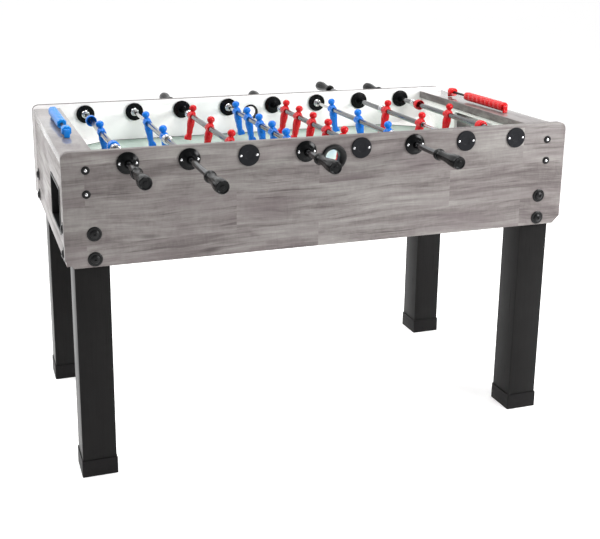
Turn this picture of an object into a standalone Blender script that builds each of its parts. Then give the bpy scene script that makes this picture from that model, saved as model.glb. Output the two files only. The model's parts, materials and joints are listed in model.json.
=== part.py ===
"""Foosball table: an oak-laminate cabinet on four square legs, with eight telescopic rods.

X runs along the table, the blue players' handles are on the -Y side, and Z is up from the floor.
Everything is built about the cabinet's own centre and parented to one empty, which sets the
cabinet so that the rod ends reach equally far in -Y and +Y. Metres throughout.
"""

import math

import bmesh
import bpy
from mathutils import Matrix, Vector

GAP = 0.0003  # between pieces that touch on the real table

# Cabinet
LENGTH = 1.430
WIDTH = 0.760
HEIGHT = 0.890
PANEL = 0.020  # side panels
PANEL_BOTTOM = 0.592
PANEL_CORNER = 0.022  # rounded top corners, chamfered bottom corners
END_RECESS = 0.006  # the end panels stand in from the side panels' ends
END_PANEL = 0.018
SHELF = 0.024
SHELF_TOP = 0.878
SHELF_INNER_X = 0.629
FIELD_TOP = 0.765
FIELD = 0.012
FLOOR_BOARD = (0.598, 0.012)  # bottom, thickness

# Goal units behind the short sides of the playfield
GOAL_WALL_X = 0.636
GOAL_WALL = 0.012
GOAL_HALF = 0.120
GOAL_TOP = 0.842
RAMP = (0.150, 0.110, 0.022)  # raised corner: along X, along Y, height

# Ball entry and ball return
ENTRY_Z = 0.8326
ENTRY_SLEEVE = 0.026
ENTRY_RIM = 0.036
POCKET = (0.200, 0.118)  # opening's width and height
POCKET_Y = 0.163
POCKET_Z = 0.711
POCKET_DEPTH = 0.105

# Legs
LEG = 0.090
LEG_TOP = 0.750
CAP_WALL = 0.0023
CAP_HEIGHT = 0.047
CAP_BASE = 0.004
LEG_BOLT_Z = (0.613, 0.679)
SIDE_BOLT_Z = (0.782, 0.843)
SIDE_BOLT_X = 0.656

# Rods
ROD_Z = 0.855
ROD_PITCH = 0.1575
TUBE_R = 0.008
CORE_R = 0.005  # inner telescopic rod
FLANGE_R = 0.0285
SLEEVE_R = 0.015
SCREW_Y = 0.0215  # bushing screws, either side of the rod
DISC = 0.008  # the bushings' discs on the inner faces
MAN_HALF = 0.015
BUMPER = 0.022
HANDLE = 0.115
HANDLE_START = 0.415  # handle's inner end, from the cabinet's centre line, pushed right in
LEAN = math.radians(10)

# Scoring
RAIL_X = 0.668
RAIL_Z = 0.896
RAIL_MID_Y = 0.040
RAIL_HALF = 0.170
RAIL_R = 0.004
BEAD_R = 0.0145
BEAD = 0.0255

# Each kind of rod: where its players stand along it, and how far it slides each way
FIVE = {"men": (-0.243, -0.1215, 0.0, 0.1215, 0.243), "stops": (), "travel": 0.067}
THREE = {"men": (-0.215, 0.0, 0.215), "stops": (), "travel": 0.095}
TWO = {"men": (-0.120, 0.120), "stops": (), "travel": 0.190}
GOALIE = {"men": (0.0,), "stops": (-0.205, 0.205), "travel": 0.105}

# name, kind, team, how far the rod is slid towards +Y as stored
RODS = (
    ("blue_goalie", GOALIE, "blue", 0.030),
    ("blue_defence", TWO, "blue", 0.029),
    ("red_attack", THREE, "red", 0.007),
    ("blue_midfield", FIVE, "blue", 0.010),
    ("red_midfield", FIVE, "red", -0.010),
    ("blue_attack", THREE, "blue", -0.003),
    ("red_defence", TWO, "red", 0.013),
    ("red_goalie", GOALIE, "red", 0.010),
)
BLUE_REACH = HANDLE_START + TWO["travel"] + HANDLE - 0.029
RED_REACH = HANDLE_START + TWO["travel"] + HANDLE + 0.013
TABLE_Y = (BLUE_REACH - RED_REACH) / 2

HALF_IN = WIDTH / 2 - PANEL  # inner faces of the side panels
END_X = LENGTH / 2 - END_RECESS  # outer faces of the end panels
LEG_X = END_X - END_PANEL - GAP  # legs' outer faces
LEG_Y = HALF_IN - GAP
LEG_BOLT_END_Y = LEG_Y - LEG / 2


def clear_scene():
    for obj in list(bpy.data.objects):
        bpy.data.objects.remove(obj, do_unlink=True)


clear_scene()
parts = bpy.data.collections.new("foosball_table")
cutters = bpy.data.collections.new("cutters")
for new_collection in (parts, cutters):
    bpy.context.scene.collection.children.link(new_collection)
table = bpy.data.objects.new("table", None)
table.location = (0, TABLE_Y, 0)
parts.objects.link(table)


def material(name, colour, roughness, metallic=0.0):
    mat = bpy.data.materials.new(name)
    mat.use_nodes = True
    shader = mat.node_tree.nodes["Principled BSDF"]
    shader.inputs["Base Color"].default_value = (*colour, 1)
    shader.inputs["Roughness"].default_value = roughness
    shader.inputs["Metallic"].default_value = metallic
    mat.diffuse_color = (*colour, 1)
    return mat


OAK = material("grey_oak_laminate", (0.36, 0.32, 0.30), 0.45)
WHITE = material("white_laminate", (0.86, 0.87, 0.87), 0.3)
GLASS = material("green_glass_field", (0.62, 0.75, 0.70), 0.08)
BLACK = material("black_plastic", (0.012, 0.012, 0.013), 0.35)
LEG_PAINT = material("black_leg_paint", (0.010, 0.010, 0.011), 0.4)
CHROME = material("chromed_steel", (0.75, 0.76, 0.78), 0.12, 1.0)
TEAM = {
    "blue": material("blue_plastic", (0.005, 0.13, 0.62), 0.35),
    "red": material("red_plastic", (0.60, 0.010, 0.014), 0.35),
}


# Building blocks

def around(radius, steps):
    """Corner radius of a bore with that many sides, whose flats clear a round of this radius."""
    return (radius + GAP) / math.cos(math.pi / steps)


def place(obj, location=(0, 0, 0), rotation=(0, 0, 0), parent=table, mat=None, cutter=False):
    """Link an object, as a part of the table or as the operand of a Boolean."""
    (cutters if cutter else parts).objects.link(obj)
    obj.parent = parent
    obj.location = location
    obj.rotation_euler = rotation
    if mat:
        obj.data.materials.append(mat)
    if cutter:
        obj.hide_render = True
        obj.display_type = "WIRE"
    return obj


def box(name, size, location, mat=None, cutter=False, parent=table, bevel=0.0):
    bm = bmesh.new()
    bmesh.ops.create_cube(bm, size=1)
    bmesh.ops.scale(bm, vec=size, verts=bm.verts)
    if bevel:
        bmesh.ops.bevel(bm, geom=bm.edges[:], offset=bevel, segments=1, affect="EDGES")
    mesh = bpy.data.meshes.new(name)
    bm.to_mesh(mesh)
    bm.free()
    return place(bpy.data.objects.new(name, mesh), location, parent=parent, mat=mat, cutter=cutter)


def pin(name, radius, start, end, axis="Y", steps=12, mat=None, cutter=True, parent=table):
    """A cylinder along one axis, from start to the same point with that coordinate at end."""
    index = "XYZ".index(axis)
    centre = Vector(start)
    centre[index] = (start[index] + end) / 2
    turn = {"X": Matrix.Rotation(math.pi / 2, 4, "Y"), "Y": Matrix.Rotation(math.pi / 2, 4, "X"),
            "Z": Matrix.Identity(4)}[axis]
    bm = bmesh.new()
    bmesh.ops.create_cone(bm, cap_ends=True, segments=steps, radius1=radius, radius2=radius,
                          depth=abs(end - start[index]), matrix=turn)
    mesh = bpy.data.meshes.new(name)
    bm.to_mesh(mesh)
    bm.free()
    obj = bpy.data.objects.new(name, mesh)
    return place(obj, centre, parent=parent, mat=mat, cutter=cutter)


def turned(name, profile, steps=12, closed=False, location=(0, 0, 0), rotation=(0, 0, 0),
           mat=None, cutter=False, parent=table):
    """A piece turned about its local Y axis, from (radius, y) points that run towards -Y."""
    mesh = bpy.data.meshes.new(name)
    count = len(profile)
    edges = [(i, i + 1) for i in range(count - 1)]
    if closed:
        edges.append((count - 1, 0))
    mesh.from_pydata([(radius, y, 0) for radius, y in profile], edges, [])
    obj = bpy.data.objects.new(name, mesh)
    screw = obj.modifiers.new("Turn", "SCREW")
    screw.axis = "Y"
    screw.steps = steps
    screw.render_steps = steps
    screw.use_merge_vertices = True
    screw.merge_threshold = 0.00001
    screw.use_smooth_shade = True
    return place(obj, location, rotation, parent=parent, mat=mat, cutter=cutter)


def boolean(obj, operation, operands):
    """Join or cut an object with several others in one Boolean."""
    group = bpy.data.collections.new(f"{obj.name} {operation.lower()}")
    cutters.children.link(group)
    for operand in operands:
        cutters.objects.unlink(operand)
        group.objects.link(operand)
    modifier = obj.modifiers.new(operation.title(), "BOOLEAN")
    modifier.operation = operation
    modifier.solver = "EXACT"
    modifier.operand_type = "COLLECTION"
    modifier.collection = group


def join(obj, *operands):
    boolean(obj, "UNION", operands)


def cut(obj, *operands):
    boolean(obj, "DIFFERENCE", operands)


# Cabinet

def rod_x(number):
    return (number - 4.5) * ROD_PITCH


def handle_side(team):
    return -1 if team == "blue" else 1


def side_panel_blank(name, side):
    """A side panel, with its top corners rounded and its bottom corners chamfered."""
    bm = bmesh.new()
    bmesh.ops.create_cube(bm, size=1)
    bmesh.ops.scale(bm, vec=(LENGTH, PANEL, HEIGHT - PANEL_BOTTOM), verts=bm.verts)
    for top, segments in ((True, 5), (False, 1)):
        corners = [edge for edge in bm.edges
                   if abs(edge.verts[0].co.y - edge.verts[1].co.y) > PANEL / 2
                   and abs(edge.verts[0].co.x) > LENGTH / 2 - 1e-6
                   and (edge.verts[0].co.z > 0) == top]
        bmesh.ops.bevel(bm, geom=corners, offset=PANEL_CORNER, segments=segments, profile=0.5,
                        affect="EDGES")
    mesh = bpy.data.meshes.new(name)
    bm.to_mesh(mesh)
    bm.free()
    centre = (0, side * (WIDTH / 2 - PANEL / 2), (HEIGHT + PANEL_BOTTOM) / 2)
    return place(bpy.data.objects.new(name, mesh), centre, mat=OAK)


def closed_bushing(number, side):
    """The disc and two screws on the panel's outer face, where an inner rod is held."""
    x = rod_x(number)
    face = side * WIDTH / 2
    disc = pin("closed disc", FLANGE_R, (x, face - side * 0.005, ROD_Z), face + side * 0.004,
               steps=16)
    screws = [pin("screw head", 0.0035, (x + offset, face, ROD_Z), face + side * 0.0055, steps=8)
              for offset in (-SCREW_Y, SCREW_Y)]
    return [disc, *screws]


def side_panel(name, side):
    panel = side_panel_blank(name, side)
    outside = side * (WIDTH / 2 + 0.02)
    inside = side * (HALF_IN - 0.02)
    discs = []
    holes = [pin("ball entry hole", around(ENTRY_SLEEVE, 20), (0, outside, ENTRY_Z), inside,
                 steps=20)]
    for number, (_, _, team, _) in enumerate(RODS, 1):
        x = rod_x(number)
        if handle_side(team) == side:
            holes.append(pin("bushing hole", around(SLEEVE_R, 12), (x, outside, ROD_Z), inside))
        else:
            discs += closed_bushing(number, side)
            holes.append(pin("inner rod socket", around(CORE_R, 12), (x, inside, ROD_Z),
                             side * (HALF_IN + 0.010)))
    for end in (-1, 1):
        holes += [pin("leg bolt hole", 0.0058, (end * 0.640, outside, z), inside, steps=8)
                  for z in LEG_BOLT_Z]
        holes += [pin("side bolt hole", 0.0036, (end * SIDE_BOLT_X, outside, z), inside, steps=8)
                  for z in SIDE_BOLT_Z]
    join(panel, *discs)
    cut(panel, *holes)


def end_panel(name, end):
    height = SHELF_TOP - SHELF - GAP - PANEL_BOTTOM
    panel = box(name, (END_PANEL, 2 * LEG_Y, height),
                (end * (END_X - END_PANEL / 2), 0, PANEL_BOTTOM + height / 2), OAK)
    bolt_holes = [pin("leg bolt hole", 0.0058, (end * (END_X + 0.01), y, z), end * (END_X - 0.03),
                      axis="X", steps=8)
                  for y in (-LEG_BOLT_END_Y, LEG_BOLT_END_Y) for z in LEG_BOLT_Z]
    cut(panel, *bolt_holes,
        box("pocket hole", (0.06, POCKET[0] + 2 * GAP, POCKET[1] + 2 * GAP),
            (end * END_X, end * POCKET_Y, POCKET_Z), cutter=True))


def end_shelf(name, end):
    outer = LENGTH / 2 - 0.003
    depth = outer - SHELF_INNER_X
    box(name, (depth, 2 * LEG_Y, SHELF), (end * (outer - depth / 2), 0, SHELF_TOP - SHELF / 2),
        OAK)


def corner_ramp(end, side):
    """A raised corner that turns the ball back on to the field: a wedge, highest in the corner."""
    run_x, run_y, rise = RAMP
    base = FIELD_TOP + GAP
    corner = Vector((end * (GOAL_WALL_X + 0.004), side * LEG_Y, base))
    along_x = corner - Vector((end * run_x, 0, 0))
    along_y = corner - Vector((0, side * run_y, 0))
    bm = bmesh.new()
    verts = [bm.verts.new(point) for point in (corner, along_x, along_y,
                                               corner + Vector((0, 0, rise)))]
    bmesh.ops.convex_hull(bm, input=verts)
    mesh = bpy.data.meshes.new("corner ramp")
    bm.to_mesh(mesh)
    bm.free()
    return place(bpy.data.objects.new("corner ramp", mesh), cutter=True)


def side_bolt(end, side, z):
    """A dome-headed bolt in a washer, from the side panel's outer face into the goal unit."""
    x = end * SIDE_BOLT_X
    face = side * (WIDTH / 2 + GAP)
    shank = pin("side bolt shank", 0.003, (x, side * (HALF_IN - 0.02), z), face + side * 0.001,
                steps=6)
    washer = pin("side bolt washer", 0.0108, (x, face, z), face + side * 0.002)
    dome = turned("side bolt dome", ((0, 0.004), (0.003, 0.0032), (0.0046, 0), (0, 0)), steps=6,
                  location=(x, face + side * 0.0015, z),
                  rotation=(0, 0, 0 if side > 0 else math.pi), cutter=True)
    return shank, washer, dome


def goal_unit(name, end):
    """The white wall behind the goal line, with its corner ramps and the blocks it is bolted by."""
    bottom = FIELD_TOP + GAP
    top = SHELF_TOP - SHELF - GAP
    height = top - bottom
    mid_z = bottom + height / 2
    unit = box(name, (GOAL_WALL, 2 * LEG_Y, height),
               (end * (GOAL_WALL_X + GOAL_WALL / 2), 0, mid_z), WHITE)
    back = LEG_X
    block_depth = back - GOAL_WALL_X - 0.004
    block_x = end * (back - block_depth / 2)
    pieces = []
    for side in (-1, 1):
        pieces += [box("bolt block", (block_depth, 0.060, height),
                       (block_x, side * (LEG_Y - 0.030), mid_z), cutter=True),
                   corner_ramp(end, side)]
        for z in SIDE_BOLT_Z:
            pieces += side_bolt(end, side, z)
    join(unit, *pieces)
    cut(unit, box("goal mouth", (0.05, 2 * GOAL_HALF, 2 * (GOAL_TOP - bottom)),
                  (end * GOAL_WALL_X, 0, bottom), cutter=True))


def playfield(name):
    """The glass-topped field, which runs under the goal units and has a ball drop behind each."""
    field = box(name, (2 * LEG_X, 2 * LEG_Y, FIELD), (0, 0, FIELD_TOP - FIELD / 2), GLASS)
    cut(field, *[box("ball drop", (0.038, 2 * GOAL_HALF - 0.02, 0.05),
                     (end * (LEG_X - 0.021), 0, FIELD_TOP), cutter=True) for end in (-1, 1)])


def floor_board(name):
    bottom, thickness = FLOOR_BOARD
    half = LEG_X - LEG - GAP
    box(name, (2 * half, 2 * LEG_Y, thickness), (0, 0, bottom + thickness / 2), WHITE)


# Ball entry and ball return

def ball_entry(name, side):
    """A funnel through the side panel's middle, where the ball is served."""
    face = -WIDTH / 2
    inner = -HALF_IN + 0.002
    profile = ((ENTRY_SLEEVE, inner), (ENTRY_SLEEVE, face - GAP), (ENTRY_RIM, face - GAP),
               (ENTRY_RIM, face - 0.003), (0.031, face - 0.005), (0.027, face - 0.004),
               (0.020, face + 0.004), (0.020, inner))
    turned(name, profile, steps=20, closed=True, location=(0, 0, ENTRY_Z),
           rotation=(0, 0, 0 if side < 0 else math.pi), mat=BLACK)


def ball_pocket(name, end):
    """A moulded cup in the end panel: the ball drops in at the top and is picked out in front.

    Its mouth is as thick as the end panel, and the cup behind the mouth hangs below the field.
    """
    width, height = POCKET
    wall = 0.003
    y = end * POCKET_Y
    front = END_X + 0.0018
    mouth = front - LEG_X
    bottom = POCKET_Z - height / 2
    cup_top = FIELD_TOP - FIELD - 0.001
    cup_z = (bottom + cup_top) / 2
    cup_height = cup_top - bottom
    cup = box(name, (mouth, width, height), (end * (front - mouth / 2), y, POCKET_Z), BLACK)
    join(cup,
         box("pocket rim", (0.0015, width + 0.010, height + 0.010),
             (end * (front - 0.00075), y, POCKET_Z), cutter=True),
         box("pocket cup", (POCKET_DEPTH, width, cup_height),
             (end * (front - 0.001 - POCKET_DEPTH / 2), y, cup_z), cutter=True))
    cut(cup,
        box("pocket mouth", (2 * mouth - 2 * wall, width - 2 * wall, height - 2 * wall),
            (end * front, y, POCKET_Z), cutter=True),
        box("pocket inside", (POCKET_DEPTH, width - 2 * wall, cup_height - 2 * wall),
            (end * (front - POCKET_DEPTH / 2 + wall), y, cup_z), cutter=True),
        box("pocket ball drop", (0.05, width - 0.06, 0.02),
            (end * (front - POCKET_DEPTH + 0.035), y, cup_top), cutter=True))


# Legs

def bolt_head(location, axis, direction):
    """A wide washer and a low domed head, on the outer face of a panel."""
    index = "XYZ".index(axis)
    start = Vector(location)
    washer = pin("bolt washer", 0.019, start, start[index] + direction * 0.0025, axis=axis)
    head = pin("bolt head", 0.0115, start, start[index] + direction * 0.0075, axis=axis, steps=8)
    return washer, head


def leg(name, end, side):
    """A square leg in the cabinet's corner, with its two bolts through each panel."""
    x = end * (LEG_X - LEG / 2)
    y = side * (LEG_Y - LEG / 2)
    bottom = CAP_BASE + GAP
    post = box(name, (LEG, LEG, LEG_TOP - bottom), (x, y, (LEG_TOP + bottom) / 2), LEG_PAINT,
               bevel=0.002)
    side_face = side * (WIDTH / 2 + GAP)
    end_face = end * (END_X + GAP)
    bolts = []
    for z in LEG_BOLT_Z:
        bolts += [pin("bolt shank", 0.005, (end * 0.640, y, z), side_face + side * 0.001, steps=6),
                  *bolt_head((end * 0.640, side_face, z), "Y", side),
                  pin("bolt shank", 0.005, (x, y, z), end_face + end * 0.001, axis="X", steps=6),
                  *bolt_head((end_face, y, z), "X", end)]
    join(post, *bolts)


def foot_cap(name, end, side):
    outer = LEG + 2 * (CAP_WALL + GAP)
    x = end * (LEG_X - LEG / 2)
    y = side * (LEG_Y - LEG / 2)
    cap = box(name, (outer, outer, CAP_HEIGHT), (x, y, CAP_HEIGHT / 2), BLACK, bevel=0.0015)
    inner = LEG + 2 * GAP
    cut(cap, box("cap socket", (inner, inner, CAP_HEIGHT),
                 (x, y, CAP_BASE + CAP_HEIGHT / 2), cutter=True))


# Rods

def section(centre, half):
    """A six-sided section of a player, from its centre (x, z) and (half depth, half width)."""
    (cx, cz), (depth, width) = centre, half
    return [(cx + depth * math.cos(a), width * math.sin(a), cz)
            for a in (math.radians(60 * i) for i in range(6))]


# A player's sections from the foot up: (x, z) of the centre, (half depth, half width)
PLAYER = (
    ((0.0035, -0.0755), (0.0125, 0.0095)),
    ((0.0035, -0.0630), (0.0120, 0.0095)),
    ((0.0, -0.0530), (0.0070, 0.0085)),
    ((0.0, -0.0140), (0.0100, 0.0125)),
    ((0.0, 0.0100), (0.0115, 0.0160)),
    ((0.0, 0.0165), (0.0050, 0.0065)),
    ((0.0, 0.0220), (0.0100, 0.0105)),
    ((0.0, 0.0310), (0.0095, 0.0100)),
    ((0.0, 0.0360), (0.0035, 0.0035)),
)


def player(parent, y):
    """One player, lofted from foot to head, as moulded on to the rod."""
    bm = bmesh.new()
    rings = [[bm.verts.new(point) for point in section(centre, half)] for centre, half in PLAYER]
    for lower, upper in zip(rings, rings[1:]):
        for i in range(6):
            j = (i + 1) % 6
            bm.faces.new((lower[i], lower[j], upper[j], upper[i]))
    bm.faces.new(rings[0][::-1])
    bm.faces.new(rings[-1])
    mesh = bpy.data.meshes.new("player")
    bm.to_mesh(mesh)
    bm.free()
    return place(bpy.data.objects.new("player", mesh), (0, y, 0), parent=parent, cutter=True)


def stop_collar(parent, y, facing):
    """A goalkeeper rod's stop: a cup on the rod, open towards the player."""
    profile = ((0.007, 0.010), (0.012, 0.010), (0.0165, 0.006), (0.0165, -0.012),
               (0.013, -0.012), (0.013, 0.003), (0.007, 0.003))
    return turned("stop collar", profile, closed=True, location=(0, y, 0),
                  rotation=(0, 0, 0 if facing < 0 else math.pi), cutter=True, parent=parent)


def bushing(name, number, side):
    """A rod's bearing: a sleeve through the panel, a domed flange outside and a disc inside."""
    outer = -WIDTH / 2
    inner = -HALF_IN
    bore = around(TUBE_R, 12)
    profile = ((bore, inner + DISC), (FLANGE_R, inner + DISC), (FLANGE_R, inner + GAP),
               (SLEEVE_R, inner + GAP), (SLEEVE_R, outer - GAP), (FLANGE_R, outer - GAP),
               (FLANGE_R - 0.001, outer - 0.003), (0.014, outer - 0.010),
               (0.012, outer - 0.013), (bore, outer - 0.013))
    piece = turned(name, profile, closed=True, location=(rod_x(number), 0, ROD_Z),
                   rotation=(0, 0, 0 if side < 0 else math.pi), mat=BLACK)
    face = side * (WIDTH / 2 + 0.001)
    join(piece, *[pin("screw head", 0.0035, (rod_x(number) + offset, face, ROD_Z),
                      face + side * 0.0075, steps=6) for offset in (-SCREW_Y, SCREW_Y)])


def outer_rod(name, number, kind, team, slid):
    """The chromed tube with its players, bumper and stops. Its handle is towards local -Y."""
    travel = kind["travel"]
    turn = 0 if team == "blue" else math.pi
    slid_local = slid if team == "blue" else -slid
    last = max(kind["men"] + kind["stops"])
    far = last + 0.020
    near = -(HANDLE_START + travel + 0.085)
    tube = pin(name, TUBE_R, (0, near, 0), far, mat=CHROME, cutter=False)
    for vertex in tube.data.vertices:
        vertex.co.y += (near + far) / 2
    tube.location = (rod_x(number), slid, ROD_Z)
    tube.rotation_euler = (0, -LEAN, turn)
    for polygon in tube.data.polygons:
        polygon.use_smooth = len(polygon.vertices) == 4
    bumper_y = -last - MAN_HALF - 0.004 - BUMPER / 2
    join(tube,
         *[player(tube, y) for y in kind["men"]],
         *[stop_collar(tube, y, -1 if y > 0 else 1) for y in kind["stops"]],
         pin("bumper", 0.0135, (0, bumper_y - BUMPER / 2, 0), bumper_y + BUMPER / 2, parent=tube))
    core_tip = far - travel - slid_local - 0.06
    depth = far - core_tip + travel - slid_local + 0.02
    cut(tube, pin("tube bore", around(CORE_R, 12), (0, far - depth, 0), far + 0.01, parent=tube))
    return tube, core_tip


def inner_rod(name, number, team, slid, core_tip):
    """The thin rod that the tube slides on: it turns in the panel, behind its disc and hub."""
    slid_local = slid if team == "blue" else -slid
    hub = HALF_IN - DISC
    profile = ((0, HALF_IN + 0.008), (CORE_R, HALF_IN + 0.008), (CORE_R, HALF_IN - GAP),
               (FLANGE_R, HALF_IN - GAP), (FLANGE_R, hub), (0.012, hub), (0.013, hub - 0.003),
               (0.0115, hub - 0.006), (CORE_R, hub - 0.006), (CORE_R, core_tip + slid_local),
               (0, core_tip + slid_local))
    turned(name, profile, steps=16, location=(rod_x(number), 0, ROD_Z),
           rotation=(0, 0, 0 if team == "blue" else math.pi), mat=CHROME)


def handle(name, tube, kind):
    """A turned grip: a collar, a waist, and a bulb that closes over the tube's end."""
    start = -(HANDLE_START + kind["travel"])
    end = start - HANDLE
    bore = around(TUBE_R, 12)
    profile = ((bore, start), (0.0145, start), (0.0170, start - 0.004), (0.0170, start - 0.012),
               (0.0130, start - 0.020), (0.0125, start - 0.035), (0.0165, start - 0.068),
               (0.0190, start - 0.088), (0.0180, start - 0.103), (0.0120, end + 0.003),
               (0.0060, end), (0, end), (0, start - 0.088), (bore, start - 0.088))
    turned(name, profile, closed=True, parent=tube, mat=BLACK)


# Scoring

def score_rail(name, end):
    rail = pin(name, RAIL_R, (end * RAIL_X, RAIL_MID_Y - RAIL_HALF - 0.004, RAIL_Z),
               RAIL_MID_Y + RAIL_HALF + 0.004, mat=BLACK, cutter=False)
    post_height = RAIL_Z + 0.006 - SHELF_TOP - GAP
    join(rail, *[box("rail post", (0.012, 0.006, post_height),
                     (end * RAIL_X, RAIL_MID_Y + side * (RAIL_HALF + 0.0035),
                      SHELF_TOP + GAP + post_height / 2), cutter=True) for side in (-1, 1)])


def beads(name, end, count, start, team):
    """A run of eight-sided beads from start towards -Y."""
    bore = around(RAIL_R, 8)
    groove = BEAD_R - 0.0025
    chamfer = 0.0025
    profile = [(bore, start)]
    for i in range(count):
        top = start - i * BEAD
        profile += [(groove, top), (BEAD_R, top - chamfer), (BEAD_R, top - BEAD + chamfer)]
    bottom = start - count * BEAD
    profile += [(groove, bottom), (bore, bottom)]
    turned(name, profile, steps=8, closed=True, location=(end * RAIL_X, 0, RAIL_Z),
           rotation=(0, math.radians(22.5), 0), mat=TEAM[team])


# The table

side_panel("front_side_panel", -1)
side_panel("back_side_panel", 1)
playfield("playfield")
floor_board("cabinet_floor")
for label, side in (("front", -1), ("back", 1)):
    ball_entry(f"{label}_ball_entry", side)

RAIL_TOP = RAIL_MID_Y + RAIL_HALF
RAIL_LOW = RAIL_MID_Y - RAIL_HALF
for label, end, team in (("left", -1, "blue"), ("right", 1, "red")):
    end_panel(f"{label}_end_panel", end)
    end_shelf(f"{label}_end_shelf", end)
    goal_unit(f"{label}_goal_unit", end)
    ball_pocket(f"{label}_ball_pocket", end)
    score_rail(f"{label}_score_rail", end)
    for depth_label, side in (("front", -1), ("back", 1)):
        leg(f"{depth_label}_{label}_leg", end, side)
        foot_cap(f"{depth_label}_{label}_foot", end, side)
beads("left_score_block", -1, 9, RAIL_TOP - 0.001, "blue")
beads("left_score_bead", -1, 1, RAIL_LOW + 0.001 + BEAD, "blue")
beads("right_score_block", 1, 9, RAIL_LOW + 0.001 + 9 * BEAD, "red")
beads("right_score_bead", 1, 1, RAIL_TOP - 0.001, "red")

for number, (label, kind, team, slid) in enumerate(RODS, 1):
    tube, core_tip = outer_rod(f"{label}_rod", number, kind, team, slid)
    inner_rod(f"{label}_inner_rod", number, team, slid, core_tip)
    handle(f"{label}_handle", tube, kind)
    bushing(f"{label}_bushing", number, handle_side(team))
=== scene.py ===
"""Foosball table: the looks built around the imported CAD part.

Metres, in the CAD's own frame: X runs along the table, the blue handles are on the -Y side.
"""

import json
import math

import bmesh
import bpy
from mathutils import Matrix, Vector


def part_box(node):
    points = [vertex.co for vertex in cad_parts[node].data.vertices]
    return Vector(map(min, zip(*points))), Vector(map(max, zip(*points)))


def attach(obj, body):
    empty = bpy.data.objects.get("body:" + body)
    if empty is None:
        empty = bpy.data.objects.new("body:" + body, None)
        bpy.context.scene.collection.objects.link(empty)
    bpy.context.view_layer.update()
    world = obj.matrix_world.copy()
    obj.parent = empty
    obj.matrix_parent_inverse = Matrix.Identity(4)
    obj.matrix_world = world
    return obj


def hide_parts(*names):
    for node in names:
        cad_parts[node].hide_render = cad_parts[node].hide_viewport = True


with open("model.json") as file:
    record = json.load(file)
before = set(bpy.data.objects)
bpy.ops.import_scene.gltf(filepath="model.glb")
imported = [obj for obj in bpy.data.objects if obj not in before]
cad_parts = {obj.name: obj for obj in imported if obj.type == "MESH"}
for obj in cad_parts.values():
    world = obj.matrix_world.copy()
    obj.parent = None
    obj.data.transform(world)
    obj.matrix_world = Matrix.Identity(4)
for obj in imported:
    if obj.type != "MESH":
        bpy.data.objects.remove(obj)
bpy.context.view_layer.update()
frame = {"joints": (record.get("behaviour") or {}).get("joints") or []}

# Positions of the CAD parts

field_low, field_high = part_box("playfield")
MID_Y = (field_low.y + field_high.y) / 2  # the cabinet's centre line
FIELD_TOP = field_high.z
HALF_IN = 0.360  # inner and outer faces of the side panels, from the centre line
HALF_OUT = 0.380
SIDE_THICK = HALF_OUT - HALF_IN
HALF_LENGTH = 0.715
PANEL_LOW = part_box("front_side_panel")[0].z
PANEL_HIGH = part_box("front_side_panel")[1].z
END_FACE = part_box("right_end_panel")[1].x
END_BACK = END_FACE - 0.0183  # just inside the end panels
LEG = 0.090
LEG_LOW, LEG_TOP = 0.0043, 0.750
CAP_HIGH = 0.0470
GAP = 0.0003

ROD_R = 0.008
CORE_R = 0.005
FLANGE_R = 0.0285
SCREW_OFFSET = 0.0215
DISC = 0.008
LEAN = math.radians(10)
HANDLE_START = 0.415  # from the centre line, with the rod pushed right in
ENTRY_Z = 0.8326
ENTRY_BORE = 0.0263  # holes through the side panels
BEARING_BORE = 0.0153
STEM_R = 0.015
POCKET = (0.200, 0.118)
POCKET_Y = 0.163
POCKET_Z = 0.711
LEG_BOLT_Z = (0.613, 0.679)
SIDE_BOLT_Z = (0.782, 0.843)
SIDE_BOLT_X = 0.656
LEG_BOLT_X = 0.640
GOAL_WALL_X = 0.636
GOAL_WALL = 0.012
GOAL_HALF = 0.120
GOAL_TOP = 0.842
GOAL_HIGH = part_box("left_goal_unit")[1].z
RAMP = (0.150, 0.110, 0.022)  # along the table, across it, and up
DROP_X = (0.6507, 0.6887)  # the slot that lets a ball down behind each goal line
DROP_HALF = 0.110
GLASS_THICK = 0.004
CORNER_R = 0.022  # the side panels' top corners, and the chamfers at their feet
BEAD = 0.0255

# Where the players and stop collars stand along each kind of rod
MEN = {"goalie": (0.0,), "defence": (-0.120, 0.120), "attack": (-0.215, 0.0, 0.215),
       "midfield": (-0.243, -0.1215, 0.0, 0.1215, 0.243)}
STOPS = {"goalie": (-0.205, 0.205)}


# Materials

def srgb(red, green, blue, gain=1.0):
    """A linear colour from a screen colour of 0 to 255."""
    def linear(value):
        value /= 255
        return value / 12.92 if value <= 0.04045 else ((value + 0.055) / 1.055) ** 2.4
    return tuple(gain * linear(value) for value in (red, green, blue)) + (1.0,)


class Nodes:
    """Short calls for the nodes of a material or a world."""

    def __init__(self, owner):
        owner.use_nodes = True
        self.nodes = owner.node_tree.nodes
        self.links = owner.node_tree.links

    def feed(self, socket, value):
        if isinstance(value, bpy.types.NodeSocket):
            self.links.new(value, socket)
        else:
            socket.default_value = value

    def node(self, kind, inputs=None, **settings):
        new = self.nodes.new(kind)
        for key, value in settings.items():
            setattr(new, key, value)
        for key, value in (inputs or {}).items():
            self.feed(new.inputs[key], value)
        return new

    def maths(self, operation, first, second=0.0):
        return self.node("ShaderNodeMath", {0: first, 1: second}, operation=operation).outputs[0]

    def spread(self, value, low, high, from_low=0.3, from_high=0.7, **settings):
        return self.node("ShaderNodeMapRange", {"Value": value, "From Min": from_low,
                                                "From Max": from_high, "To Min": low,
                                                "To Max": high}, **settings).outputs["Result"]


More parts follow.
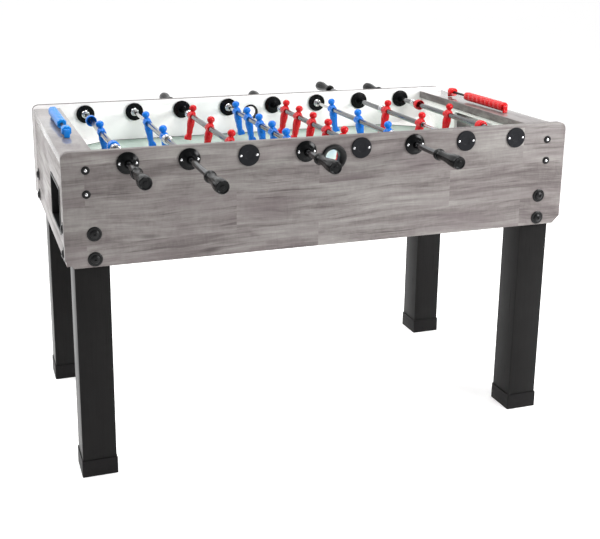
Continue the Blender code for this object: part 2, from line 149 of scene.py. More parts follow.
class Paint(Nodes):
    """A Principled material."""

    def __init__(self, name, **fixed):
        self.material = bpy.data.materials.new(name)
        super().__init__(self.material)
        self.shader = self.nodes["Principled BSDF"]
        self.place = self.node("ShaderNodeTexCoord").outputs["Object"]
        for socket, value in fixed.items():
            self.shader.inputs[socket.replace("_", " ")].default_value = value

    def stretched(self, scale, place=None):
        return self.node("ShaderNodeMapping", {"Vector": place or self.place,
                                               "Scale": scale}).outputs["Vector"]

    def noise(self, scale, detail=3.0, rough=0.5, warp=0.0, place=None):
        """Noise whose grain is 1 / scale metres, along each axis or along all three."""
        where = place or self.place
        if not isinstance(scale, (int, float)):
            where = self.stretched(scale, where)
            scale = 1.0
        return self.node("ShaderNodeTexNoise", {"Vector": where, "Scale": scale, "Detail": detail,
                                                "Roughness": rough, "Distortion": warp}
                         ).outputs["Fac"]

    def ramp(self, value, *stops):
        """A colour ramp. Each stop is (position, grey or colour)."""
        new = self.node("ShaderNodeValToRGB", {"Fac": value})
        points = new.color_ramp.elements
        while len(points) < len(stops):
            points.new(0.5)
        for point, (position, colour) in zip(points, stops):
            point.position = position
            point.color = (colour,) * 3 + (1,) if isinstance(colour, (int, float)) else colour
        return new.outputs["Color"]

    def mix(self, share, first, second, blend="MIX"):
        new = self.node("ShaderNodeMix", data_type="RGBA", blend_type=blend)
        for index, value in ((0, share), (6, first), (7, second)):
            self.feed(new.inputs[index], value)
        return new.outputs[2]

    def edges(self):
        """1 on the sharp outer edges, where the finish wears; on the legs it also places a painted
        highlight.
        """
        point = self.node("ShaderNodeNewGeometry").outputs["Pointiness"]
        return self.ramp(point, (0.52, 0.0), (0.60, 1.0))

    def finish(self, colour=None, roughness=None, height=None, depth=0.0002, strength=0.5):
        if colour is not None:
            self.feed(self.shader.inputs["Base Color"], colour)
        if roughness is not None:
            self.feed(self.shader.inputs["Roughness"], roughness)
        if height is not None:
            bump = self.node("ShaderNodeBump", {"Height": height, "Distance": depth,
                                                "Strength": strength})
            self.links.new(bump.outputs["Normal"], self.shader.inputs["Normal"])
        return self.material


def oak(name, along="X", gain=1.0, gloss=0.0, offset=0.0):
    """Grey limed oak foil: planks of straight grain, with soft patches, ripples and cracks."""
    paint = Paint(name, Coat_Weight=gloss, Coat_Roughness=0.08, Specular_IOR_Level=0.3)
    axes = paint.node("ShaderNodeSeparateXYZ", {"Vector": paint.place})
    run = paint.maths("ADD", axes.outputs["X" if along == "X" else "Y"], offset)
    depth = axes.outputs["Y" if along == "X" else "X"]
    height = paint.maths("SUBTRACT", axes.outputs["Z"], paint.maths("MULTIPLY", run, 0.02))
    sheet = paint.node("ShaderNodeCombineXYZ", {"X": run, "Y": height, "Z": depth}).outputs[0]
    planks = paint.node("ShaderNodeTexBrick", {
        "Vector": sheet, "Color1": (0, 0, 0, 1), "Color2": (1, 1, 1, 1), "Mortar": (0.5,) * 4,
        "Scale": 1.0, "Mortar Size": 0.0, "Brick Width": 0.62, "Row Height": 0.104},
        offset=0.37).outputs["Color"]
    shifted = paint.node("ShaderNodeVectorMath", {
        0: sheet, 1: paint.mix(1.0, planks, (9.0, 5.0, 0.0, 1), "MULTIPLY")},
        operation="ADD").outputs["Vector"]
    bend = paint.node("ShaderNodeSeparateXYZ", {"Vector": shifted})
    wander = paint.noise((1.9, 5, 4), 2, place=shifted)
    flat = paint.node("ShaderNodeCombineXYZ", {
        "X": bend.outputs["X"], "Z": bend.outputs["Z"],
        "Y": paint.maths("ADD", bend.outputs["Y"], paint.maths("MULTIPLY", wander, 0.05))
    }).outputs[0]
    patch = paint.noise((3.2, 15, 9), 4, 0.6, 0.6, flat)
    streak = paint.noise((3.0, 85, 20), 5, 0.66, 0.2, flat)
    fine = paint.noise((14, 330, 60), 3, 0.65, 0.0, flat)
    ripple = paint.noise((80, 24, 24), 3, 0.6, 1.2, shifted)
    fibre = paint.noise((60, 1300, 420), 2, 0.6, 0.0, flat)
    tone = paint.mix(0.42, paint.spread(patch, 0, 1, 0.36, 0.64), paint.spread(streak, 0, 1))
    tone = paint.mix(0.20, tone, paint.spread(fine, 0, 1))
    tone = paint.mix(0.09, tone, paint.spread(ripple, 0, 1))
    tone = paint.mix(0.05, tone, planks)
    colour = paint.ramp(tone, (0.22, srgb(112, 103, 102, gain)), (0.42, srgb(142, 134, 132, gain)),
                        (0.58, srgb(161, 155, 152, gain)), (0.80, srgb(184, 180, 175, gain)))
    mauve = paint.noise((2.4, 10, 5), 3, 0.6, 0.5, flat)
    colour = paint.mix(paint.ramp(mauve, (0.48, 0.0), (0.70, 0.60)), colour,
                       srgb(134, 121, 123, gain))
    weather = paint.noise((5, 22, 9), 2, 0.5, 0.0, flat)
    crack = paint.maths("MULTIPLY", paint.ramp(streak, (0.35, 1.0), (0.41, 0.0)),
                        paint.ramp(weather, (0.46, 0.0), (0.62, 0.8)))
    colour = paint.mix(crack, colour, srgb(92, 82, 81, gain))
    spots = paint.node("ShaderNodeTexVoronoi", {
        "Vector": paint.stretched((4.6, 20, 9), flat), "Scale": 0.62}).outputs["Distance"]
    knots = paint.ramp(spots, (0.03, 0.75), (0.11, 0.0))
    colour = paint.mix(knots, colour, srgb(84, 74, 74, gain))
    pores = paint.ramp(fibre, (0.28, 0.35), (0.38, 0.0))
    colour = paint.mix(pores, colour, srgb(104, 96, 95, gain))
    return paint.finish(colour, paint.spread(tone, 0.50, 0.38, 0.2, 0.8),
                        paint.mix(0.6, tone, fibre), 0.0002, 0.3)


def laminate(name, colour, rough=0.30):
    """Smooth white board, with a faint unevenness and a few scuffs."""
    paint = Paint(name, Specular_IOR_Level=0.5)
    cloud = paint.noise(9, 3)
    skin = paint.noise(900, 2)
    scuff = paint.noise((12, 90, 140), 4, 0.7, 1.5)
    tint = paint.mix(paint.ramp(cloud, (0.35, 0.0), (0.70, 0.6)), colour,
                     tuple(0.955 * part for part in colour[:3]) + (1,))
    tint = paint.mix(paint.ramp(scuff, (0.66, 0.0), (0.74, 0.22)), tint, srgb(205, 206, 206))
    return paint.finish(tint, paint.spread(scuff, rough - 0.05, rough + 0.12), skin, 0.00005, 0.3)


def moulded(name, colour, rough, worn, grain=1400, specular=0.5):
    """Injection-moulded plastic: fine spark texture, uneven gloss and lighter rubbed edges."""
    paint = Paint(name, Specular_IOR_Level=specular)
    cloud = paint.noise(38, 4)
    skin = paint.noise(grain, 2, 0.6)
    smear = paint.noise((70, 30, 110), 4, 0.7, 2.0)
    darker = tuple(0.80 * part for part in colour[:3]) + (1,)
    tint = paint.mix(paint.ramp(cloud, (0.35, 0.0), (0.70, 0.8)), colour, darker)
    edge = paint.maths("MULTIPLY", paint.edges(), paint.ramp(smear, (0.35, 0.1), (0.6, 0.35)))
    tint = paint.mix(edge, tint, worn)
    return paint.finish(tint, paint.spread(smear, rough - 0.07, rough + 0.10), skin, 0.00006, 0.5)


def steel(name, colour, rough, run=(40, 900, 900)):
    """Plated steel, with fine lengthwise draw marks and a haze of handling."""
    paint = Paint(name, Metallic=1.0)
    marks = paint.noise(run, 3, 0.7)
    haze = paint.noise(45, 4, 0.6)
    tint = paint.mix(paint.ramp(haze, (0.30, 0.0), (0.72, 0.7)), colour,
                     tuple(0.72 * part for part in colour[:3]) + (1,))
    blur = paint.mix(0.4, paint.spread(marks, rough - 0.06, rough + 0.10),
                     paint.spread(haze, rough - 0.04, rough + 0.12))
    return paint.finish(tint, blur, marks, 0.00002, 0.35)


def leg_paint(name):
    """Black foil on the legs: a faint ash grain, fine dust, and paler corners that are partly wear
    and partly a painted edge highlight.
    """
    paint = Paint(name, Specular_IOR_Level=0.06)
    grain = paint.noise((260, 260, 7), 4, 0.65, 0.5)
    dust = paint.noise(22, 5, 0.65)
    tint = paint.mix(paint.ramp(grain, (0.35, 0.0), (0.72, 1.0)), srgb(8, 8, 9),
                     srgb(16, 16, 17))
    tint = paint.mix(paint.ramp(dust, (0.48, 0.0), (0.80, 0.30)), tint, srgb(26, 25, 25))
    # Paler corners: partly wear, partly a painted highlight along the leg edges.
    tint = paint.mix(paint.maths("MULTIPLY", paint.edges(), 0.3), tint, srgb(70, 68, 66))
    return paint.finish(tint, paint.spread(grain, 0.26, 0.40), grain, 0.00012, 0.35)


def field_glass(name):
    """Pale green glass over white board, with faint waviness and a little dust."""
    paint = Paint(name, Specular_IOR_Level=0.5)
    cloud = paint.noise(5, 3)
    dust = paint.noise(420, 3, 0.7)
    tint = paint.mix(paint.ramp(cloud, (0.35, 0.0), (0.70, 1.0)), srgb(196, 214, 203),
                     srgb(188, 209, 197))
    tint = paint.mix(paint.ramp(dust, (0.66, 0.0), (0.84, 0.25)), tint, srgb(226, 232, 228))
    return paint.finish(tint, paint.spread(dust, 0.06, 0.14), cloud, 0.0002, 0.15)


# One grey oak foil in four copies that differ in gain. The end panels' copy is painted lighter
# (0.70 against 0.53 on the sides), as painted light on the brighter end faces. The shelves' copy
# is close to the sides', and the edges' copy is a little darker.
OAK_SIDE = oak("oak_side", "X", 0.53, 0.0, 1.9)
OAK_END_PAINTED_LIGHTER = oak("oak_end", "Y", 0.70, 0.2, 3.7)
OAK_SHELF = oak("oak_shelf", "Y", 0.56, 1.0, 8.3)
OAK_EDGE = oak("oak_edge", "X", 0.48, 0.0, 5.1)
WHITE = laminate("white_board", srgb(244, 242, 241))
GOAL_WHITE = laminate("goal_moulding", srgb(252, 250, 248), 0.22)
GLASS = field_glass("field_glass")
SEAL = moulded("glass_edge", srgb(66, 74, 70), 0.25, srgb(104, 112, 108))
BEARING = moulded("bearing_black", srgb(7, 8, 9), 0.20, srgb(32, 32, 34), specular=0.12)
DISC_BLACK = moulded("disc_black", srgb(20, 21, 25), 0.42, srgb(46, 46, 50), specular=0.12)
WASHER = moulded("washer_black", srgb(9, 9, 10), 0.32, srgb(48, 48, 50), specular=0.22)
GRIP = moulded("grip_black", srgb(7, 8, 9), 0.18, srgb(30, 31, 33), specular=0.20)
ENTRY_BLACK = moulded("entry_black", srgb(10, 10, 11), 0.34, srgb(48, 48, 50), specular=0.25)
CAP_BLACK = moulded("cap_black", srgb(14, 13, 14), 0.42, srgb(44, 42, 42), grain=900,
                    specular=0.10)
LEG_BLACK = leg_paint("leg_black")
# The tubes' chrome is far darker than the core and bright steel: painted shade for the dark
# surroundings the tubes reflect.
TUBE_STEEL_PAINTED_DARKER = steel("tube_steel", srgb(124, 125, 127), 0.10)
CORE = steel("core_steel", srgb(214, 214, 214), 0.12)
BRIGHT = steel("bright_steel", srgb(222, 222, 224), 0.14, (700, 700, 700))
BLUE = moulded("men_blue", srgb(0, 108, 206), 0.22, srgb(24, 132, 222), grain=1100, specular=0.30)
RED = moulded("men_red", srgb(192, 10, 20), 0.22, srgb(210, 44, 42), grain=1100, specular=0.28)
BEAD_BLUE = moulded("bead_blue", srgb(0, 122, 216), 0.16, srgb(30, 150, 228), grain=1100,
                    specular=0.34)
BEAD_RED = moulded("bead_red", srgb(196, 8, 18), 0.16, srgb(214, 46, 44), grain=1100,
                   specular=0.28)
TEAM = {"blue": BLUE, "red": RED}


# Mesh building

def piece(name, bm, paints, body, replaced=(), angle=35):
    """A finished mesh, riding on its body. A face's material_index picks its paint."""
    mesh = bpy.data.meshes.new(name)
    bmesh.ops.recalc_face_normals(bm, faces=bm.faces[:])
    bm.to_mesh(mesh)
    bm.free()
    obj = bpy.data.objects.new(name, mesh)
    bpy.context.scene.collection.objects.link(obj)
    for paint in (paints if isinstance(paints, (list, tuple)) else [paints]):
        mesh.materials.append(paint)
    mesh.shade_smooth()
    mesh.set_sharp_from_angle(angle=math.radians(angle))
    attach(obj, body)
    if replaced:
        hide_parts(*replaced)
    return obj


def rounded(points, radius, closed=True, steps=3):
    """A line of 2-D points with its corners rounded, as far as its sides leave room."""
    result = []
    count = len(points)
    for i, point in enumerate(points):
        corner = Vector(point[:2])
        own = point[2] if len(point) > 2 else radius
        if own == 0 or (not closed and i in (0, count - 1)):
            result.append(tuple(corner))
            continue
        before = Vector(points[i - 1][:2]) - corner
        after = Vector(points[(i + 1) % count][:2]) - corner
        angle = before.angle(after)
        if angle > math.radians(172):
            result.append(tuple(corner))
            continue
        reach = min(own / math.tan(angle / 2), 0.42 * before.length, 0.42 * after.length)
        start = corner + before.normalized() * reach
        end = corner + after.normalized() * reach
        for step in range(steps + 1):
            t = step / steps
            result.append(tuple(start * (1 - t) ** 2 + corner * 2 * t * (1 - t) + end * t * t))
    return result


def lathe(bm, profile, matrix=None, steps=48, closed=True, fillet=0.0006, swell=None):
    """Turns a (radius, y) profile about local Y, into bm. swell(y, angle) adds to its radius."""
    if fillet:
        profile = rounded(profile, fillet, closed)
    matrix = matrix or Matrix()
    rings = []
    for radius, y in profile:
        if radius < 1e-6:
            rings.append([bm.verts.new(matrix @ Vector((0, y, 0)))])
            continue
        ring = []
        for i in range(steps):
            angle = math.tau * i / steps
            r = radius + (swell(y, angle) if swell else 0.0)
            ring.append(bm.verts.new(matrix @ Vector((r * math.cos(angle), y,
                                                      r * math.sin(angle)))))
        rings.append(ring)
    pairs = list(zip(rings, rings[1:]))
    if closed:
        pairs.append((rings[-1], rings[0]))
    for first, second in pairs:
        for i in range(steps):
            j = (i + 1) % steps
            corners = []
            for vert in (first[i % len(first)], first[j % len(first)],
                         second[j % len(second)], second[i % len(second)]):
                if vert not in corners:
                    corners.append(vert)
            if len(corners) > 2:
                bm.faces.new(corners)
    return bm


def block(bm, low, high, bevel=0.0008, segments=2):
    """A box between two corners, with rounded edges, added to bm."""
    made = bmesh.ops.create_cube(bm, size=1)["verts"]
    low, high = Vector(low), Vector(high)
    for vert in made:
        vert.co = Vector(((low[k] + high[k]) / 2 + vert.co[k] * (high[k] - low[k]))
                         for k in range(3))
    if bevel:
        faces = {face for vert in made for face in vert.link_faces}
        edges = list({edge for face in faces for edge in face.edges})
        bmesh.ops.bevel(bm, geom=edges, offset=bevel, segments=segments, profile=0.5,
                        affect="EDGES", clamp_overlap=True)
    return bm


def circle(centre, radius, steps=48):
    return [(centre[0] + radius * math.cos(math.tau * i / steps),
             centre[1] + radius * math.sin(math.tau * i / steps)) for i in range(steps)]


def board(outline, holes, thickness, matrix, bevel=0.0008):
    """A flat board with holes and rounded edges, its outline in local X and Y, from z = 0 up."""
    bm = bmesh.new()
    edges = []
    for loop in [outline, *holes]:
        verts = [bm.verts.new((x, y, 0)) for x, y in loop]
        edges += [bm.edges.new((a, b)) for a, b in zip(verts, verts[1:] + verts[:1])]
    bmesh.ops.triangle_fill(bm, use_beauty=True, edges=edges, use_dissolve=False)
    low = list(bm.faces)
    top = bmesh.ops.extrude_face_region(bm, geom=low)["geom"]
    bmesh.ops.translate(bm, vec=(0, 0, thickness),
                        verts=[item for item in top if isinstance(item, bmesh.types.BMVert)])
    bmesh.ops.recalc_face_normals(bm, faces=bm.faces[:])
    rim = [edge for edge in bm.edges if edge.is_manifold and edge.calc_face_angle() > 1.2]
    bmesh.ops.bevel(bm, geom=rim, offset=bevel, segments=2, profile=0.5, affect="EDGES",
                    clamp_overlap=False)
    bm.transform(matrix)
    bm.normal_update()
    return bm


def loft(bm, rings, steps=16):
    """Skins a stack of superellipse sections (z, centre x, centre y, half x, half y, power)."""
    made = []
    for z, cx, cy, half_x, half_y, power in rings:
        ring = []
        for i in range(steps):
            c, s = math.cos(math.tau * i / steps), math.sin(math.tau * i / steps)
            x = half_x * math.copysign(abs(c) ** (2 / power), c)
            y = half_y * math.copysign(abs(s) ** (2 / power), s)
            ring.append(bm.verts.new((cx + x, cy + y, z)))
        made.append(ring)
    for lower, upper in zip(made, made[1:]):
        for i in range(steps):
            j = (i + 1) % steps
            bm.faces.new((lower[i], lower[j], upper[j], upper[i]))
    bm.faces.new(made[0][::-1])
    bm.faces.new(made[-1])


def modified(bm, *modifiers):
    """The mesh data of bm after a list of (kind, settings) modifiers."""
    mesh = bpy.data.meshes.new("work")
    bm.to_mesh(mesh)
    bm.free()
    obj = bpy.data.objects.new("work", mesh)
    bpy.context.scene.collection.objects.link(obj)
    for kind, settings in modifiers:
        modifier = obj.modifiers.new(kind, kind)
        for key, value in settings.items():
            setattr(modifier, key, value)
    bpy.context.view_layer.update()
    result = bpy.data.meshes.new_from_object(obj.evaluated_get(
        bpy.context.evaluated_depsgraph_get()))
    bpy.data.objects.remove(obj)
    return result


def add_mesh(bm, mesh, matrix):
    start = len(bm.verts)
    bm.from_mesh(mesh)
    bm.verts.ensure_lookup_table()
    bmesh.ops.transform(bm, matrix=matrix, verts=bm.verts[start:])


def facing(x, y, z, side=-1):
    """Places a piece turned about Y so that its local -Y points out of that side."""
    return Matrix.Translation((x, MID_Y + y, z)) @ Matrix.Rotation(0 if side < 0 else math.pi,
                                                                  4, "Z")


def endways(x, y, z, end):
    """Places a piece turned about Y so that its local -Y points out of that end."""
    return Matrix.Translation((x, MID_Y + y, z)) @ Matrix.Rotation(end * math.pi / 2, 4, "Z")


# Screws and bolts

def recessed_head(profile, cutters, steps=32):
    """A turned head with its driver recess cut out."""
    head = lathe(bmesh.new(), profile, steps=steps, closed=False, fillet=0.0)
    tool = bmesh.new()
    for size, centre in cutters:
        half = Vector(size) / 2
        block(tool, Vector(centre) - half, Vector(centre) + half, 0)
    tool_mesh = bpy.data.meshes.new("tool")
    tool.to_mesh(tool_mesh)
    tool.free()
    tool_object = bpy.data.objects.new("tool", tool_mesh)
    bpy.context.scene.collection.objects.link(tool_object)
    mesh = modified(head, ("BOOLEAN", {"object": tool_object, "operation": "DIFFERENCE",
                                       "solver": "EXACT", "use_self": True}))
    bpy.data.objects.remove(tool_object)
    return mesh


CROSS = [((0.0042, 0.0016, 0.0009), (0, -0.0022, 0)), ((0.0009, 0.0016, 0.0042), (0, -0.0022, 0))]
SCREW = recessed_head(((0, 0.0008), (0.0034, 0.0008), (0.0036, 0.0), (0.0033, -0.0010),
                       (0.0024, -0.0018), (0.0012, -0.0022), (0, -0.0023)), CROSS)
DOME = recessed_head(((0, 0.0012), (0.0044, 0.0012), (0.0046, 0.0), (0.0043, -0.0012),
                      (0.0034, -0.0026), (0.0022, -0.0034), (0.0010, -0.0037), (0, -0.0038)),
                     [((0.0030, 0.0024, 0.0017), (0, -0.0036, 0))])
BIG_HEAD = recessed_head(((0, 0.0015), (0.0112, 0.0015), (0.0115, 0.0), (0.0110, -0.0022),
                          (0.0085, -0.0042), (0.0050, -0.0050), (0, -0.0052)),
                         [((0.0062, 0.0060, 0.0036), (0, -0.0040, 0))])


# Cabinet

def panel_outline():
    """A side panel seen from the front: rounded top corners and chamfered bottom ones."""
    foot, chamfer, soft = HALF_LENGTH - CORNER_R, PANEL_LOW + CORNER_R, 0.001
    return rounded([(-foot, PANEL_LOW), (foot, PANEL_LOW), (HALF_LENGTH, chamfer),
                    (HALF_LENGTH, PANEL_HIGH, CORNER_R), (-HALF_LENGTH, PANEL_HIGH, CORNER_R),
                    (-HALF_LENGTH, chamfer)], soft, steps=8)


hinges = [joint for joint in frame["joints"] if joint["type"] == "hinge"]
slides = {joint["child"]: joint["range_m"] for joint in frame["joints"]
          if joint["type"] == "slide"}
RODS = []
for hinge in hinges:
    label = hinge["name"].removesuffix("_spin")
    team, kind = label.split("_")
    low, high = slides[label]
    RODS.append({"label": label, "team": team, "kind": kind, "x": hinge["pos_m"][0],
                 "z": hinge["pos_m"][2], "travel": (high - low) / 2, "slid": -(high + low) / 2,
                 "side": -1 if team == "blue" else 1})

for depth_label, side in (("front", -1), ("back", 1)):
    holes = [circle((0, ENTRY_Z), ENTRY_BORE)]
    holes += [circle((rod["x"], rod["z"]), BEARING_BORE, 24) for rod in RODS
              if rod["side"] == side]
    start = MID_Y + (-HALF_OUT if side < 0 else HALF_IN) + SIDE_THICK
    stand = Matrix.Translation((0, start, 0)) @ Matrix.Rotation(math.pi / 2, 4, "X")
    bm = board(panel_outline(), holes, SIDE_THICK, stand)
    for face in bm.faces:
        outward = face.normal.y * side
        if outward < -0.9:
            face.material_index = 1
        elif outward < 0.5:
            face.material_index = 2
    piece(f"{depth_label}_panel_board", bm, [OAK_SIDE, WHITE, OAK_EDGE], "cabinet",
          [f"{depth_label}_side_panel"])

for label, end in (("left", -1), ("right", 1)):
    low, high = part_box(f"{label}_end_panel")
    centre = end * POCKET_Y
    half_w, half_h = POCKET[0] / 2, POCKET[1] / 2
    opening = rounded([(centre - half_w, POCKET_Z - half_h), (centre + half_w, POCKET_Z - half_h),
                       (centre + half_w, POCKET_Z + half_h), (centre - half_w, POCKET_Z + half_h)],
                      0.0005)
    outline = [(low.y - MID_Y, low.z), (high.y - MID_Y, low.z), (high.y - MID_Y, high.z),
               (low.y - MID_Y, high.z)]
    stand = Matrix(((0, 0, 1, low.x), (1, 0, 0, MID_Y), (0, 1, 0, 0), (0, 0, 0, 1)))
    bm = board(outline, [opening], high.x - low.x, stand)
    for face in bm.faces:
        face.material_index = 1 if face.normal.x * end < -0.9 else 0
    piece(f"{label}_end_board", bm, [OAK_END_PAINTED_LIGHTER, WHITE], "cabinet",
          [f"{label}_end_panel"])

    low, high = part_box(f"{label}_end_shelf")
    bm = block(bmesh.new(), low, high, 0.0012, 3)
    for face in bm.faces:
        face.material_index = 1 if face.normal.x * end < -0.9 or face.normal.z < -0.9 else 0
    piece(f"{label}_shelf_board", bm, [OAK_SHELF, OAK_EDGE], "cabinet",
          [f"{label}_end_shelf"])

low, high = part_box("cabinet_floor")
piece("floor_panel", block(bmesh.new(), low, high), WHITE, "cabinet",
      ["cabinet_floor"])

# Playfield: a sheet of glass on a board, with a seal round its edge

reach_x = GOAL_WALL_X - 0.0005
corner_x = GOAL_WALL_X + 0.004 - RAMP[0]
corner_y = HALF_IN - RAMP[1]
edge_y = HALF_IN - 0.0008
glass_outline = [(-corner_x, -edge_y), (corner_x, -edge_y), (reach_x, -corner_y),
                 (reach_x, corner_y), (corner_x, edge_y), (-corner_x, edge_y),
                 (-reach_x, corner_y), (-reach_x, -corner_y)]
drops = [rounded([(end * DROP_X[0], -DROP_HALF), (end * DROP_X[1], -DROP_HALF),
                  (end * DROP_X[1], DROP_HALF), (end * DROP_X[0], DROP_HALF)], 0.004)
         for end in (-1, 1)]
base = [(field_low.x, -HALF_IN + GAP), (field_high.x, -HALF_IN + GAP),
        (field_high.x, HALF_IN - GAP), (field_low.x, HALF_IN - GAP)]
piece("field_board", board(base, drops, 0.0079, Matrix.Translation((0, MID_Y, field_low.z))),
      WHITE, "cabinet")
sheet_place = Matrix.Translation((0, MID_Y, FIELD_TOP - GLASS_THICK))
piece("field_sheet", board(glass_outline, [], GLASS_THICK, sheet_place), GLASS, "cabinet",
      ["playfield"])

bm = bmesh.new()
SEAL_WIDTH, SEAL_HEIGHT = 0.0022, 0.0012
rim_outer = [Vector(point) for point in glass_outline]
rings = []
for inset, height in ((0, 0), (0, SEAL_HEIGHT), (SEAL_WIDTH * 0.6, SEAL_HEIGHT),
                      (SEAL_WIDTH, SEAL_HEIGHT * 0.5), (SEAL_WIDTH, 0)):
    ring = []
    for i, point in enumerate(rim_outer):
        before = (point - rim_outer[i - 1]).normalized()
        after = (rim_outer[(i + 1) % 8] - point).normalized()
        inward = (Vector((-before.y, before.x)) + Vector((-after.y, after.x))).normalized()
        shift = inset / inward.dot(Vector((-before.y, before.x)))
        ring.append(bm.verts.new((point.x + inward.x * shift, MID_Y + point.y + inward.y * shift,
                                  FIELD_TOP - 0.0002 + height)))
    rings.append(ring)
for first, second in zip(rings, rings[1:] + rings[:1]):
    for i in range(8):
        j = (i + 1) % 8
        bm.faces.new((first[i], first[j], second[j], second[i]))
piece("field_seal", bm, SEAL, "cabinet")

# Goal units

for label, end in (("left", -1), ("right", 1)):
    base_z = FIELD_TOP + GAP
    half = HALF_IN - GAP
    mouth = rounded([(-GOAL_HALF, base_z - 0.001, 0.0), (-GOAL_HALF, GOAL_TOP, 0.010),
                     (GOAL_HALF, GOAL_TOP, 0.010), (GOAL_HALF, base_z - 0.001, 0.0)], 0.0, steps=6)
    outline = rounded([(-half, base_z), *[(x, max(z, base_z)) for x, z in mouth],
                       (half, base_z), (half, GOAL_HIGH), (-half, GOAL_HIGH)], 0.0)
    x = GOAL_WALL_X if end > 0 else -GOAL_WALL_X - GOAL_WALL
    stand = Matrix(((0, 0, 1, x), (1, 0, 0, MID_Y), (0, 1, 0, 0), (0, 0, 0, 1)))
    bm = board(outline, [], GOAL_WALL, stand, 0.0015)
    for side in (-1, 1):
        xs = sorted((end * (GOAL_WALL_X + GOAL_WALL - 0.0005), end * END_BACK))
        ys = sorted((side * (half - 0.060), side * half))
        block(bm, (xs[0], MID_Y + ys[0], base_z), (xs[1], MID_Y + ys[1], GOAL_HIGH), 0.001)
        run_x, run_y, rise = RAMP
        toe = 0.0012
        corner = Vector((end * (GOAL_WALL_X + 0.001), MID_Y + side * half, base_z))
        along_x = corner - Vector((end * run_x, 0, 0))
        along_y = corner - Vector((0, side * run_y, 0))
        steps = 10
        top, low_row = [], []
        for i in range(steps + 1):
            t = i / steps
            front = along_x.lerp(along_y, t)
            row = []
            for j in range(steps + 1):
                share = j / steps
                spot = front.lerp(corner, share)
                lift = toe + (rise - toe) * (share ** 1.35)
                row.append(bm.verts.new((spot.x, spot.y, base_z + (lift if j < steps else rise))))
            top.append(row)
            low_row.append(bm.verts.new(front))
        tip = top[0][steps]
        for row in top:
            if row[steps] is not tip:
                bmesh.ops.pointmerge(bm, verts=[tip, row[steps]], merge_co=tip.co)
                row[steps] = tip
        foot = bm.verts.new(corner)
        for a, b, la, lb in zip(top, top[1:], low_row, low_row[1:]):
            for j in range(steps):
                face = [a[j], a[j + 1], b[j + 1], b[j]]
                bm.faces.new(list(dict.fromkeys(face)))
            bm.faces.new((la, a[0], b[0], lb))
            bm.faces.new((la, lb, foot))
        for row, lowest in ((top[0], low_row[0]), (top[-1], low_row[-1])):
            bm.faces.new([lowest, *row, foot])
    piece(f"{label}_goal_frame", bm, GOAL_WHITE, "cabinet",
          [f"{label}_goal_unit"])

# Ball entries and pockets

for depth_label, side in (("front", -1), ("back", 1)):
    face = -HALF_OUT
    inner = -HALF_IN + 0.002
    stem = ENTRY_BORE - GAP
    profile = [(stem, inner), (stem, face - GAP, 0.0), (0.036, face - GAP),
               (0.036, face - 0.0030), (0.0330, face - 0.0048), (0.0300, face - 0.0050),
               (0.0268, face - 0.0036),
               (0.0225, face + 0.0010), (0.0203, face + 0.0060), (0.0200, inner)]
    bm = lathe(bmesh.new(), profile, facing(0, 0, ENTRY_Z, side), 72, fillet=0.0012)
    piece(f"{depth_label}_entry_funnel", bm, ENTRY_BLACK, "cabinet",
          [f"{depth_label}_ball_entry"])

for label, end in (("left", -1), ("right", 1)):
    width, height = POCKET
    wall = 0.003
    front = END_FACE + 0.0018
    low_z, cup_top = POCKET_Z - height / 2, FIELD_TOP - 0.013
    mouth_back = front - END_BACK

    def rectangle(grow, x, high=POCKET_Z + height / 2):
        """A rounded rectangle round the pocket's mouth, at that depth behind its front."""
        y = end * POCKET_Y
        half = width / 2 + grow
        line = rounded([(y - half, low_z - grow), (y + half, low_z - grow),
                        (y + half, high + grow), (y - half, high + grow)],
                       0.008 + grow, steps=5)
        return [(end * (front - x), MID_Y + a, b) for a, b in line]

    rows = [rectangle(0, mouth_back), rectangle(0, 0.0018), rectangle(0.0046, 0.0018),
            rectangle(0.0050, 0.0013), rectangle(0.0046, 0.0002), rectangle(0.0038, 0.0),
            rectangle(-0.0012, 0.0), rectangle(-wall, 0.0016), rectangle(-wall, mouth_back)]
    bm = bmesh.new()
    rings = [[bm.verts.new(point) for point in row] for row in rows]
    for first, second in zip(rings, rings[1:] + rings[:1]):
        for i in range(len(first)):
            j = (i + 1) % len(first)
            bm.faces.new((first[i], first[j], second[j], second[i]))
    cup_rows = [rectangle(grow, x, cup_top) for grow, x in (
        (0, mouth_back - 0.001), (0, 0.105), (-wall, 0.102), (-wall, mouth_back - 0.001))]
    rings = [[bm.verts.new(point) for point in row] for row in cup_rows]
    for first, second in ((0, 1), (3, 2), (3, 0)):
        for i in range(len(rings[0])):
            j = (i + 1) % len(rings[0])
            bm.faces.new((rings[first][i], rings[first][j], rings[second][j], rings[second][i]))
    bm.faces.new(rings[1])
    bm.faces.new(rings[2][::-1])
    piece(f"{label}_pocket_cup", bm, ENTRY_BLACK, "cabinet",
          [f"{label}_ball_pocket"])

# Legs, caps and bolts

